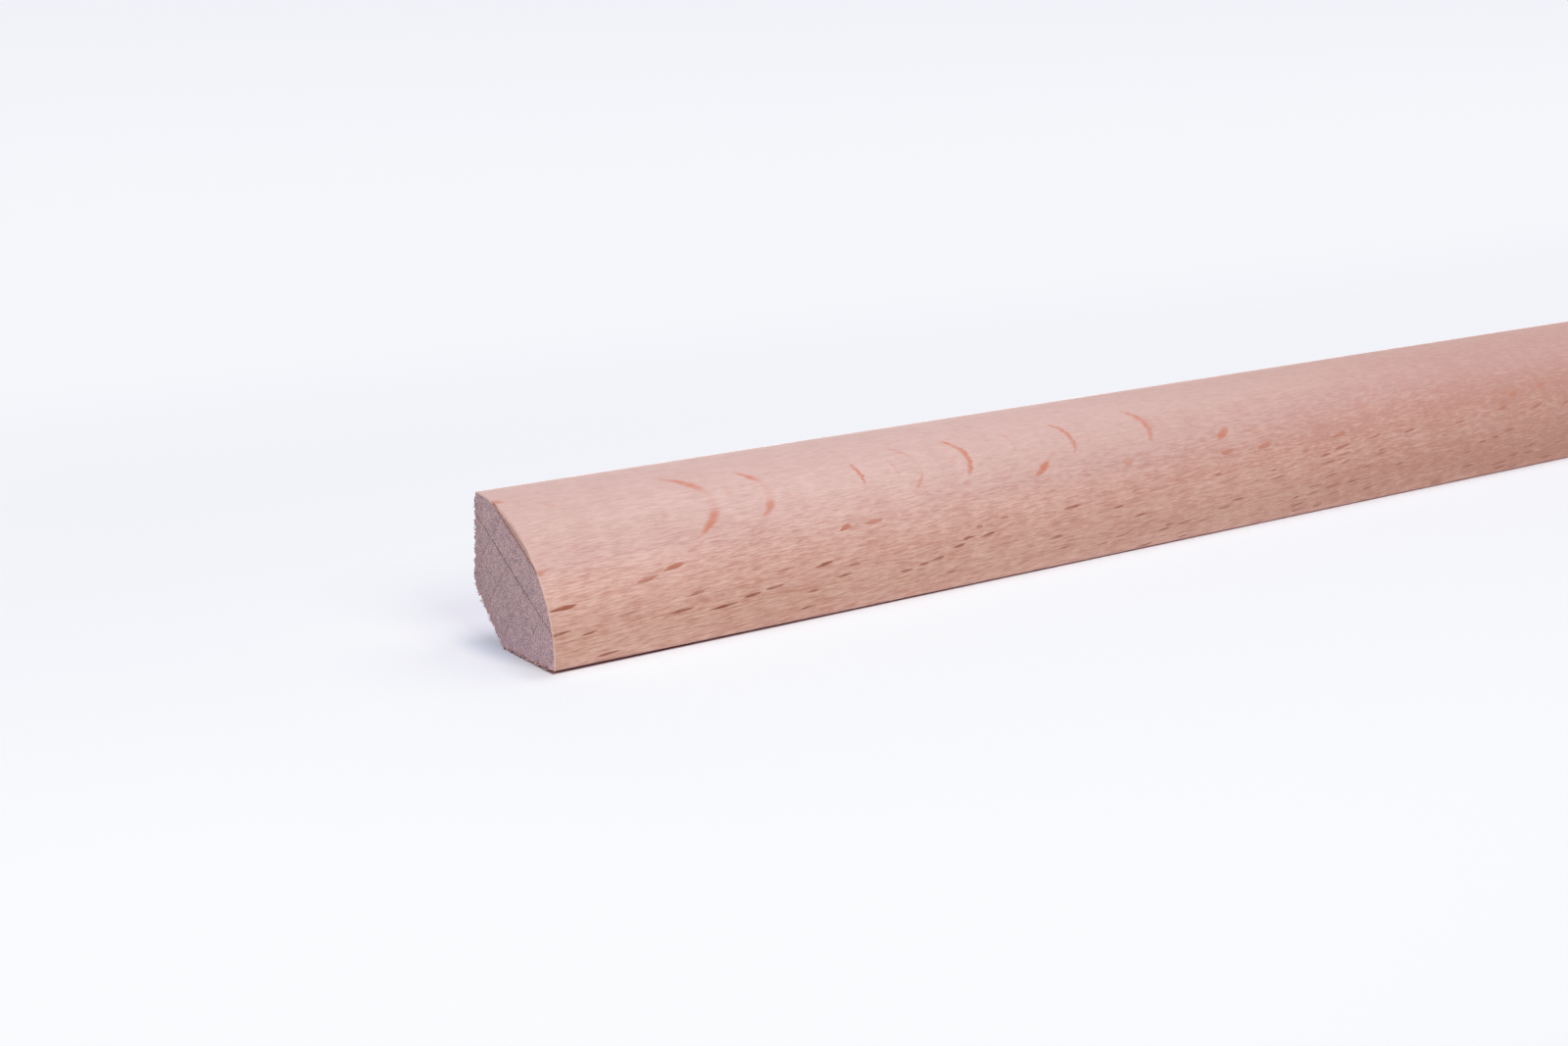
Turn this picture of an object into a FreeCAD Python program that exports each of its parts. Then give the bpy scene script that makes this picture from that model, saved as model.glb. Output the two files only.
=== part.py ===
import FreeCAD, Part
import math
import os
import Sketcher

# Quarter round moulding in solid beech, machined from one stick and cut square at both ends.
#
# The moulding lies as it is fitted: one flat on the floor, the other flat upright against the wall, and
# the rounded face to the room. The length runs along X, the wall is on the +Y side and Z is up. The
# origin is under the middle of the stick, at the centre of the rectangle that its section fills.
#
# The section is a quarter of a disc. Its centre is the corner where the floor would meet the wall. The
# moulder also cuts that corner away at 45 degrees, so that the two flats seat however full or rough the
# corner of the room is. The four long edges are eased, as sanding leaves them. The ends are left as sawn.

DRIVING_SIZES = (
    ("stock_length", 1000.0, "length that one stick is sold in"),
    ("face_radius", 14.0, "radius of the rounded face, so also the height and the depth of the section"),
    ("relief_leg", 5.0, "how far the cut-away back corner runs along the floor, and up the wall"),
    ("arris_radius", 0.3, "rounding of the long edges left by sanding"),
)

PARTS_FOLDER = "parts"
LENGTH_TOLERANCE = 1e-6
STRAIGHT_UP = math.radians(90)
TO_THE_ROOM = math.radians(180)


def make_sheet(doc):
    """The spreadsheet that holds every driving dimension, one alias to a row."""
    sheet = doc.addObject("Spreadsheet::Sheet", "sizes")
    for row, (alias, millimetres, meaning) in enumerate(DRIVING_SIZES, start=1):
        sheet.set(f"A{row}", alias)
        sheet.set(f"B{row}", str(millimetres))
        sheet.set(f"C{row}", meaning)
        sheet.setAlias(f"B{row}", alias)
    doc.recompute()
    return sheet


def origin_plane(body, role):
    """One of the body's own origin planes, found by its role."""
    for feature in body.Origin.OriginFeatures:
        if feature.Role == role:
            return feature
    raise RuntimeError(f"the body has no {role}")


def add_section(body, sheet):
    """The section on the YZ plane: rounded face, floor flat, relief and wall flat, in one closed loop."""
    sketch = body.newObject("Sketcher::SketchObject", "section")
    sketch.AttachmentSupport = [(origin_plane(body, "YZ_Plane"), "")]
    sketch.MapMode = "FlatFace"

    radius = sheet.face_radius
    relief = sheet.relief_leg
    wall = radius / 2
    corner = FreeCAD.Vector(wall, 0, 0)
    top = FreeCAD.Vector(wall, radius, 0)
    toe = FreeCAD.Vector(wall - radius, 0, 0)
    relief_foot = FreeCAD.Vector(wall - relief, 0, 0)
    relief_head = FreeCAD.Vector(wall, relief, 0)

    disc = Part.Circle(corner, FreeCAD.Vector(0, 0, 1), radius)
    face = sketch.addGeometry(Part.ArcOfCircle(disc, STRAIGHT_UP, TO_THE_ROOM), False)
    floor_flat = sketch.addGeometry(Part.LineSegment(toe, relief_foot), False)
    relief_cut = sketch.addGeometry(Part.LineSegment(relief_foot, relief_head), False)
    wall_flat = sketch.addGeometry(Part.LineSegment(relief_head, top), False)

    start, end, centre = 1, 2, 3
    x_axis = -1
    sketch_origin = (-1, 1)
    constrain = sketch.addConstraint
    constrain(Sketcher.Constraint("Coincident", face, end, floor_flat, start))
    constrain(Sketcher.Constraint("Coincident", floor_flat, end, relief_cut, start))
    constrain(Sketcher.Constraint("Coincident", relief_cut, end, wall_flat, start))
    constrain(Sketcher.Constraint("Coincident", wall_flat, end, face, start))
    constrain(Sketcher.Constraint("Horizontal", floor_flat))
    constrain(Sketcher.Constraint("Vertical", wall_flat))
    constrain(Sketcher.Constraint("PointOnObject", face, centre, x_axis))
    constrain(Sketcher.Constraint("PointOnObject", face, centre, wall_flat))
    constrain(Sketcher.Constraint("PointOnObject", face, centre, floor_flat))

    def dimension(name, constraint, expression):
        """Adds one dimension and ties it to the sheet."""
        index = constrain(constraint)
        sketch.renameConstraint(index, name)
        sketch.setExpression(f"Constraints.{name}", expression)

    dimension("radius_of_face", Sketcher.Constraint("Radius", face, radius), "sizes.face_radius")
    dimension(
        "wall_offset",
        Sketcher.Constraint("DistanceX", *sketch_origin, face, centre, wall),
        "sizes.face_radius / 2",
    )
    dimension(
        "relief_on_floor",
        Sketcher.Constraint("DistanceX", floor_flat, end, face, centre, relief),
        "sizes.relief_leg",
    )
    dimension(
        "relief_on_wall",
        Sketcher.Constraint("DistanceY", face, centre, wall_flat, start, relief),
        "sizes.relief_leg",
    )
    return sketch


def long_edges(shape):
    """Names of the edges that run the whole length of the stick."""
    names = []
    for number, edge in enumerate(shape.Edges, start=1):
        box = edge.BoundBox
        if box.XLength > shape.BoundBox.XLength - LENGTH_TOLERANCE:
            names.append(f"Edge{number}")
    return names


def make_moulding(doc, sheet):
    """The stick: the section run along X to both sides of the origin, with its long edges eased."""
    body = doc.addObject("PartDesign::Body", "quarter_round_moulding")
    body.Label = "quarter_round_moulding"
    section = add_section(body, sheet)
    doc.recompute()

    stick = body.newObject("PartDesign::Pad", "stick")
    stick.Profile = section
    stick.Midplane = True
    stick.setExpression("Length", "sizes.stock_length")
    doc.recompute()

    eased = body.newObject("PartDesign::Fillet", "eased_edges")
    eased.Base = (stick, long_edges(stick.Shape))
    eased.setExpression("Radius", "sizes.arris_radius")
    body.Tip = eased
    doc.recompute()
    return body


def check_document(doc):
    """Stops at any object that failed to compute."""
    for item in doc.Objects:
        for fault in ("Invalid", "Error"):
            if fault in item.State:
                raise RuntimeError(f"{item.Name} is {fault}")


def check_solid(body):
    """Stops at a shape that is missing, broken or in more than one piece."""
    shape = body.Shape
    if shape.isNull():
        raise RuntimeError(f"{body.Label} has no shape")
    if not shape.isValid():
        raise RuntimeError(f"{body.Label} has a bad shape")
    if len(shape.Solids) != 1:
        raise RuntimeError(f"{body.Label} has {len(shape.Solids)} solids")


def main():
    doc = FreeCAD.newDocument("quarter_round")
    sheet = make_sheet(doc)
    bodies = [make_moulding(doc, sheet)]
    doc.recompute()
    check_document(doc)
    os.makedirs(PARTS_FOLDER, exist_ok=True)
    for body in bodies:
        check_solid(body)
        body.Shape.exportStep(f"{PARTS_FOLDER}/{body.Label}.step")
        box = body.Shape.BoundBox
        print(f"{body.Label}: {box.XLength:.3f} x {box.YLength:.3f} x {box.ZLength:.3f} mm,")
        print(f"  {body.Shape.Volume:.1f} mm3, {len(body.Shape.Faces)} faces")


main()
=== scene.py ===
"""Dresses one stick of quarter round moulding in planed, steamed beech and lights it for a catalogue picture.

The stick is wrapped in one skin that follows the section, the wood is a solid pattern that runs through
it, and the torn fibres that the saw leaves stand on the edges of its two ends.
"""

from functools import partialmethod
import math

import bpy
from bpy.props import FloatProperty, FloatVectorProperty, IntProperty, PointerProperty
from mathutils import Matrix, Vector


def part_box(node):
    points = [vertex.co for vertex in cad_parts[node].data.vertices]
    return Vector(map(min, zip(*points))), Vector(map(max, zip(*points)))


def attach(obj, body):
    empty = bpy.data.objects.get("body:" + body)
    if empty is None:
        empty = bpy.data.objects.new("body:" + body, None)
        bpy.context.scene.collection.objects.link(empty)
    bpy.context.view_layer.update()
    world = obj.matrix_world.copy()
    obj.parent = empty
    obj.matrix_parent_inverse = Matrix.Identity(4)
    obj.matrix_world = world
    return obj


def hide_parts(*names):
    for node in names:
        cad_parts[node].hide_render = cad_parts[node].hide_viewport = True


bl_info = {
    "name": "Quarter round moulding",
    "version": (1, 0, 0),
    "blender": (4, 5, 0),
    "location": "3D View > Sidebar > Moulding",
    "description": "Makes a beech quarter round moulding with sawn ends and its studio stage",
    "category": "Object",
}

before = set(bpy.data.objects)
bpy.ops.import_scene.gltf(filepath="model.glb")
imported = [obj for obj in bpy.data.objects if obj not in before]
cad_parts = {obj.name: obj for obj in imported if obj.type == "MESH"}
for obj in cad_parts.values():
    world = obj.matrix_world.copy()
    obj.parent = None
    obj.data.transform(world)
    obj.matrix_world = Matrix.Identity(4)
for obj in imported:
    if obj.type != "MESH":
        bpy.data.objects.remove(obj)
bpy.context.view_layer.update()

NODE = "quarter_round_moulding"
BODY = "root"
LOW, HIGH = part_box(NODE)
STICK_LENGTH = HIGH.x - LOW.x
FACE_RADIUS = HIGH.z - LOW.z
MM = 0.001
RELIEF_LEG = 5 * MM

# How the skin is divided: points on the arc of the section, rows from the middle of a sawn end to its rim,
# and rows from the rim to the middle of the stick
FACE_POINTS = 64
RINGS = 32
STATIONS = 84

# The rays of the wood cross the section in planes that slope down to the room at this angle. The drift is
# how far the grain turns out of those planes for each millimetre along the stick.
RAY_SLOPE = math.radians(32.0)
RAY_COSINE = math.cos(RAY_SLOPE)
RAY_SINE = math.sin(RAY_SLOPE)
GRAIN_DRIFT = 0.055

# The rays that show on the face near the sawn end: millimetres from the end, degrees round the face from its
# top edge, how deep the middle of the ray lies under the face, its length and thickness in millimetres,
# how many millimetres it climbs for each one along the stick, how dark it is, and how many millimetres it
# reaches into the wood. Where the face runs along the rays they show as crescents, and the broadest ones
# are pale in the middle, where the face only skims them.
BROAD_CRESCENTS = (
    (20.8, 32.0, 0.24, 5.6, 0.23, 0.150, 1.00, 8.0),
    (28.4, 32.0, 0.12, 3.6, 0.21, 0.150, 1.00, 6.0),
    (47.8, 32.0, 0.15, 3.6, 0.12, 0.150, 0.60, 6.0),
)
CRESCENTS = (
    (41.0, 30.0, 0.00, 1.2, 0.09, 0.150, 0.95, 2.6),
    (45.6, 29.0, 0.00, 1.5, 0.06, 0.150, 0.30, 3.0),
    (55.0, 29.0, 0.08, 2.6, 0.15, 0.150, 1.00, 4.2),
    (64.4, 45.5, 0.00, 3.2, 0.20, 0.120, 1.00, 3.0),
    (70.4, 28.0, 0.05, 2.4, 0.13, 0.150, 0.90, 3.5),
    (82.2, 28.0, 0.05, 2.6, 0.16, 0.150, 0.95, 3.5),
    (93.0, 44.0, 0.00, 2.8, 0.20, 0.080, 0.95, 3.0),
)

# The rays that the face cuts across show as dashes. Their middles lie at the face and all of them reach
# equally far into the wood, so a row holds only the other six values.
DASH_REACH = 3.0
DASHES = (
    (2.0, 65.7, 2.8, 0.22, 0.045, 1.00),
    (0.9, 75.0, 1.8, 0.18, 0.045, 0.90),
    (4.1, 76.8, 1.7, 0.16, 0.045, 0.80),
    (6.2, 86.0, 2.1, 0.19, 0.050, 0.75),
    (8.6, 72.4, 2.8, 0.17, 0.060, 0.40),
    (11.5, 61.0, 2.2, 0.19, 0.055, 0.85),
    (14.9, 58.0, 1.9, 0.21, 0.060, 0.95),
    (14.3, 75.5, 2.6, 0.19, 0.045, 0.95),
    (16.4, 69.9, 1.9, 0.17, 0.060, 0.80),
    (19.5, 77.0, 2.9, 0.19, 0.045, 1.00),
    (22.9, 74.9, 2.3, 0.18, 0.055, 0.90),
    (25.7, 73.6, 2.0, 0.17, 0.050, 0.75),
    (23.9, 65.0, 1.5, 0.15, 0.050, 0.45),
    (27.2, 67.6, 1.6, 0.16, 0.050, 0.55),
    (29.5, 84.3, 1.8, 0.18, 0.045, 0.80),
    (30.4, 78.1, 1.6, 0.16, 0.045, 0.70),
    (32.2, 68.5, 2.0, 0.20, 0.045, 1.00),
    (34.6, 74.3, 1.8, 0.17, 0.045, 0.75),
    (35.8, 71.0, 1.5, 0.17, 0.050, 0.60),
    (36.0, 55.2, 1.7, 0.21, 0.060, 0.90),
    (39.7, 55.0, 1.8, 0.19, 0.060, 0.80),
    (42.2, 77.7, 1.6, 0.17, 0.045, 0.75),
    (44.9, 76.3, 1.8, 0.17, 0.060, 0.80),
    (46.8, 75.2, 1.8, 0.18, 0.060, 0.85),
    (49.6, 72.0, 1.7, 0.19, 0.070, 0.85),
    (51.4, 69.2, 1.6, 0.18, 0.080, 0.85),
    (53.1, 65.4, 1.4, 0.17, 0.080, 0.60),
    (54.0, 69.5, 1.8, 0.19, 0.060, 0.85),
    (56.7, 63.7, 1.7, 0.16, 0.060, 0.55),
    (48.4, 82.0, 1.5, 0.16, 0.045, 0.60),
)

# The rays that show as lines in the sawn end: how far the middle of the line lies out from the wall and up
# from the floor in millimetres, then thickness, darkness and reach.
SAWN_END_RAYS = (
    (7.0, 7.6, 0.26, 0.85, 12.0),
    (7.0, 11.2, 0.30, 0.90, 7.0),
    (3.2, 6.4, 0.18, 0.45, 4.2),
    (4.4, 1.6, 0.18, 0.50, 3.2),
)

# Names of the sizes that the trees are given
SHARED_INPUTS = ("Length", "Face Radius", "Relief Leg", "Arris Radius", "End Gap", "Toe Lift", "Lift Length")
STICK_INPUTS = (*SHARED_INPUTS, "Rim Bevel", "Worn Rim", "Tear Depth", "Burr Height")
KIND_INPUTS = (
    "Stretch Start", "Stretch End", "Tuft Width", "Shortest", "Longest", "Thickness", "Curl", "Inset",
    "Spread", "Lean",
)
FIBRE_INPUTS = (*SHARED_INPUTS, *KIND_INPUTS)
FIBRE_NUMBERS = ("Face Points", "Count", "In Tuft", "Seed")

# The kinds of loose fibre, each with a value for every one of the kind's inputs and the number of fibres
# that stand together. The stretch and the width of a tuft are shares of the way round the section.
IN_CURLED_TUFT = 14
FIBRE_KINDS = {
    "edge_fuzz": (0.48, 0.99, 0.002, 0.07 * MM, 0.20 * MM, 0.045 * MM, 0.3, 0.06 * MM, 0.20 * MM, 0.1, 3),
    "fibre_tufts": (
        0.70, 0.835, 0.008, 0.15 * MM, 0.34 * MM, 0.022 * MM, 0.7, 0.08 * MM, 0.10 * MM, 0.4, IN_CURLED_TUFT,
    ),
    "floor_splinters": (
        0.49, 0.66, 0.010, 0.10 * MM, 0.34 * MM, 0.11 * MM, 0.3, 0.02 * MM, 0.16 * MM, 1.6, 4,
    ),
}

# How strongly the softboxes light the open paper beside the sawn end, and the share of its white that is
# its own plain colour there
LIGHT_ON_PAPER = 0.92
PLAIN_SHARE = (0.52, 0.50, 0.70)

# Painted shade: a dark, wood-tinted colour given to the paper in the gap under the stick, in place of the
# shadow there
PAINTED_SHADE_UNDER_STICK = (0.64, 0.50, 0.52)

# Painted shade: a blue tint given to the paper close to the relief, where its shadow is blue
PAINTED_BLUE_SHADE = (0.90, 0.93, 1.0)

# Colour of the dim light from all round
SKY_TINT = (0.93, 0.96, 1.0)

# The softboxes: how far from the sawn end the place lies that each is aimed at, the way from there to the
# softbox, its distance, length along the stick, height, the angle it shines out at in degrees and how
# strongly it lights what faces it. The first four make the picture. The others light the far half and the
# wall side.
SOFTBOXES = {
    "right_softbox": (0.0, (0.6, 0.1, 0.79), 0.5, 0.3, 0.3, 180, 0.34),
    "left_softbox": (0.0, (-0.85, -0.3, 0.45), 0.5, 0.3, 0.3, 180, 0.78),
    "front_softbox": (0.0, (0.1, -0.7, 0.7), 0.5, 0.3, 0.3, 180, 0.55),
    "back_softbox": (0.0, (0.5, 0.7, 0.5), 0.5, 0.3, 0.3, 180, 0.08),
    "far_front_softbox": (0.80, (0.0, -0.7, 0.7), 0.5, 0.6, 0.3, 75, 1.15),
    "far_top_softbox": (0.80, (0.0, 0.2, 0.95), 0.5, 0.6, 0.3, 75, 0.70),
    "far_end_softbox": (1.0, (0.85, -0.3, 0.45), 0.5, 0.3, 0.3, 75, 0.70),
    "wall_strip": (0.6, (0.0, 1.0, 0.07), 0.5, 1.0, 0.07, 180, 0.80),
}


def to_linear(colour):
    """A colour as the eye reads it on a screen, turned into light."""
    return [c / 12.92 if c <= 0.04045 else ((c + 0.055) / 1.055) ** 2.4 for c in colour]


def to_screen(light):
    """Light turned into a colour as the eye reads it."""
    return [c * 12.92 if c <= 0.0031308 else 1.055 * c ** (1 / 2.4) - 0.055 for c in light]


def plug(tree, node, inputs):
    """Joins inputs of a node to wires, or sets them to plain values."""
    for name, value in inputs.items():
        if isinstance(value, Wire):
            tree.links.new(value.socket, node.inputs[name])
        else:
            node.inputs[name].default_value = value


def add(tree, kind, inputs=None, output=0, **settings):
    """Adds a node with its settings and inputs, and gives the wire of one output."""
    node = tree.nodes.new(kind)
    for name, value in settings.items():
        setattr(node, name, value)
    plug(tree, node, inputs or {})
    return Wire(tree, node.outputs[output])


class Wire:
    """A value on a wire of a node tree, so that sums read as sums."""

    def __init__(self, tree, socket):
        self.tree = tree
        self.socket = socket

    def beside(self, output):
        """The wire of another output of the same node."""
        return Wire(self.tree, self.socket.node.outputs[output])

    def sum(self, operation, *others, clamp=False):
        inputs = dict(enumerate((self, *others)))
        return add(self.tree, "ShaderNodeMath", inputs, operation=operation, use_clamp=clamp)

    __add__ = partialmethod(sum, "ADD")
    __radd__ = partialmethod(sum, "ADD")
    __sub__ = partialmethod(sum, "SUBTRACT")
    __mul__ = partialmethod(sum, "MULTIPLY")
    __truediv__ = partialmethod(sum, "DIVIDE")
    __pow__ = partialmethod(sum, "POWER")

    def __rsub__(self, other):
        return (self * -1.0) + other

    def clamped(self):
        return self.sum("ADD", 0.0, clamp=True)

    def ramp(self, start, end, low=0.0, high=1.0):
        """Goes smoothly from low to high while this value goes from start to end."""
        inputs = dict(enumerate((self, start, end, low, high)))
        return add(self.tree, "ShaderNodeMapRange", inputs, interpolation_type="SMOOTHSTEP")


def wires_of(tree, node):
    """The wires that come out of a node, by name."""
    return {socket.name: Wire(tree, socket) for socket in node.outputs if socket.name}


def parts_of(tree, vector):
    """The x, y and z of a vector."""
    x = add(tree, "ShaderNodeSeparateXYZ", {0: vector})
    return x, x.beside("Y"), x.beside("Z")


def vector_of(tree, x, y, z):
    return add(tree, "ShaderNodeCombineXYZ", {"X": x, "Y": y, "Z": z})


def vector_sum(tree, operation, *vectors, output=0):
    return add(tree, "ShaderNodeVectorMath", dict(enumerate(vectors)), output, operation=operation)


def size_of(tree, vector):
    """How long a vector is."""
    return vector_sum(tree, "LENGTH", vector, output="Value")


def scaled(tree, vector, factor):
    """A vector made longer or shorter by a factor."""
    return add(tree, "ShaderNodeVectorMath", {0: vector, "Scale": factor}, operation="SCALE")


def seeded_noise(tree, vector, detail, roughness, scale, seed):
    """Smooth noise from 0 to 1, of another pattern for another seed."""
    inputs = {"Vector": vector, "Scale": scale, "Detail": detail, "Roughness": roughness, "W": seed}
    return add(tree, "ShaderNodeTexNoise", inputs, noise_dimensions="4D")


def noise(tree, vector, sizes, shift, detail=1.0, roughness=0.5):
    """Smooth noise from 0 to 1, with spots this large along each axis, moved so that patterns differ."""
    cells = vector_sum(tree, "MULTIPLY_ADD", vector, [1.0 / size for size in sizes], [shift] * 3)
    inputs = {"Vector": cells, "Scale": 1.0, "Detail": detail, "Roughness": roughness}
    return add(tree, "ShaderNodeTexNoise", inputs, noise_dimensions="3D")


def cells_at(tree, vector, randomness=1.0, dimensions="3D"):
    """How far a place lies from the middle of its cell, and three random numbers of that cell."""
    inputs = {"Vector": vector, "Scale": 1.0, "Randomness": randomness}
    away = add(tree, "ShaderNodeTexVoronoi", inputs, "Distance", voronoi_dimensions=dimensions)
    return away, *parts_of(tree, away.beside("Color"))


def declare(tree, direction, kind, *names):
    """Names sockets on the outside of a node group."""
    for name in names:
        tree.interface.new_socket(name, in_out=direction, socket_type=kind)


def geometry_tree(name, sizes, numbers):
    """A tree that is given sizes and whole numbers, and the wires that bring them in, by name."""
    tree = bpy.data.node_groups.new(name, "GeometryNodeTree")
    declare(tree, "INPUT", "NodeSocketFloat", *sizes)
    declare(tree, "INPUT", "NodeSocketInt", *numbers)
    return tree, wires_of(tree, tree.nodes.new("NodeGroupInput"))


def give(tree, results, kind="NodeSocketGeometry"):
    """Sends wires out of a node group under their names, and gives the group."""
    declare(tree, "OUTPUT", kind, *results)
    plug(tree, tree.nodes.new("NodeGroupOutput"), results)
    return tree


def moved_to(tree, geometry, place):
    """Geometry with each point at a place of its own."""
    return add(tree, "GeometryNodeSetPosition", {"Geometry": geometry, "Position": place})


def stored(tree, geometry, name, value, data_type="FLOAT", domain="POINT"):
    """Geometry that carries a value under a name."""
    inputs = {"Geometry": geometry, "Name": name, "Value": value}
    return add(tree, "GeometryNodeStoreNamedAttribute", inputs, data_type=data_type, domain=domain)


def painted(tree, geometry, material, **where):
    """Geometry with a material on it, all over or on some of its faces."""
    return add(tree, "GeometryNodeSetMaterial", {"Geometry": geometry, "Material": material, **where})


def on_faces(tree, value):
    """A value of the points, as the faces have it."""
    return add(tree, "GeometryNodeFieldOnDomain", {0: value}, domain="FACE", data_type="FLOAT")


def section_group():
    """The outline of the section, from its top edge down the face, along the floor and up the wall."""
    sizes = ("Face Radius", "Relief Leg", "Arris Radius")
    tree, given = geometry_tree("Moulding section", sizes, ("Face Points",))
    radius, leg, count = given["Face Radius"], given["Relief Leg"], given["Face Points"]

    loop = add(tree, "GeometryNodeCurvePrimitiveCircle", {"Resolution": count + 2.0})
    index = add(tree, "GeometryNodeInputIndex")
    on_face = index.sum("LESS_THAN", count - 0.5)
    at_foot = index.sum("COMPARE", count, 0.5)
    at_head = index.sum("COMPARE", count + 1.0, 0.5)
    turn = index / (count - 1.0) * (math.pi / 2)
    wall = radius * 0.5
    y = wall - on_face * radius * turn.sum("SINE") - at_foot * leg
    z = on_face * radius * turn.sum("COSINE") + at_head * leg
    placed = moved_to(tree, loop, vector_of(tree, 0.0, y, z))
    corner = (index.sum("LESS_THAN", 0.5) + index.sum("GREATER_THAN", count - 1.5)).clamped()
    inputs = {"Curve": placed, "Count": 4, "Radius": corner * given["Arris Radius"], "Limit Radius": True}
    eased = add(tree, "GeometryNodeFilletCurve", inputs, mode="POLY")
    return give(tree, {"Outline": eased})


def on_outline(tree, section, given, around):
    """The place on the section's outline at a share of its length, and the way into the wood there."""
    names = ("Face Radius", "Relief Leg", "Arris Radius", "Face Points")
    outline = add(tree, "GeometryNodeGroup", {name: given[name] for name in names}, node_tree=section)
    inputs = {"Curves": outline, "Factor": around}
    place = add(tree, "GeometryNodeSampleCurve", inputs, "Position", mode="FACTOR")
    return place, vector_sum(tree, "CROSS_PRODUCT", (1.0, 0.0, 0.0), place.beside("Tangent"))


def torn_side(tree, place, radius):
    """1 on the floor, relief and wall sides, where the saw comes out and tears, and 0 on the face."""
    corner = vector_of(tree, 0.0, radius * 0.5, 0.0)
    from_corner = vector_sum(tree, "DISTANCE", place, corner, output="Value")
    return from_corner.ramp(radius - 0.9 * MM, radius - 0.1 * MM, 1.0, 0.0)


def lifted(given, x, y, z):
    """The height of a place once the toe stands off the floor, as it does close to a sawn end."""
    radius = given["Face Radius"]
    from_end = given["Length"] * 0.5 - x.sum("ABSOLUTE")
    fade = (from_end / given["Lift Length"] * -1.0).sum("EXPONENT")
    to_toe = ((radius * 0.5 - y) / radius).clamped()
    lift = given["Toe Lift"] * fade * to_toe ** 3.0
    return lift + z * (1.0 - lift / radius)


def damaged_rim(tree, given, place, around, torn, seed):
    """How the rim of a sawn end is chipped: how far that takes it in along the sawn face and down the long
    face, how much of a burr it has and how worn it is. It is the same for every row of a column, as fibres
    run that way."""
    chips = seeded_noise(tree, place, 2.0, 0.6, 2200.0, seed).ramp(0.44, 0.62)
    bites = seeded_noise(tree, place, 1.0, 0.5, 1100.0, seed + 3.0).ramp(0.46, 0.70)
    burr = seeded_noise(tree, place, 2.0, 0.7, 3400.0, seed + 5.0).ramp(0.40, 0.75)
    worn = around.ramp(0.04, 0.08) * around.ramp(0.195, 0.185)
    crumbled = given["Worn Rim"] * worn * (chips * 0.6 + bites * 0.4 + 0.25)
    clean = given["Rim Bevel"] * (1.0 - torn * 0.6)
    bevel = clean + crumbled + torn * given["Tear Depth"] * (chips * 0.45 + bites * 0.55)
    drop = clean + crumbled * 0.6 + torn * given["Tear Depth"] * (chips * 0.7 + bites * 0.9)
    return bevel, drop, burr, worn


def copying_map(tree, given, around, from_end, side):
    """The map that the pattern is copied through: the skin in three strips, and the two ends above them."""
    strips, strip_share, margin = 3.0, 0.8, 0.02
    x, y, z = parts_of(tree, add(tree, "GeometryNodeInputPosition"))
    along = x / given["Length"] + 0.5
    strip = on_faces(tree, along * strips)
    strip = strip.sum("FLOOR").sum("MAXIMUM", 0.0).sum("MINIMUM", strips - 1.0)
    skin_u = (along * strips - strip) * (1.0 - 2.0 * margin) + margin
    skin_v = (strip + 0.01 + around * 0.97) * (strip_share / strips)
    at_far_end = on_faces(tree, side).sum("GREATER_THAN", 0.0)
    radius = given["Face Radius"]
    end_u = 0.25 + at_far_end * 0.5 + (y / radius) * 0.42
    end_v = strip_share + 0.01 + (z / radius) * 0.18
    on_cap = on_faces(tree, from_end).sum("LESS_THAN", given["Rings"])
    return vector_of(tree, skin_u + on_cap * (end_u - skin_u), skin_v + on_cap * (end_v - skin_v), 0.0)


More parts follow.
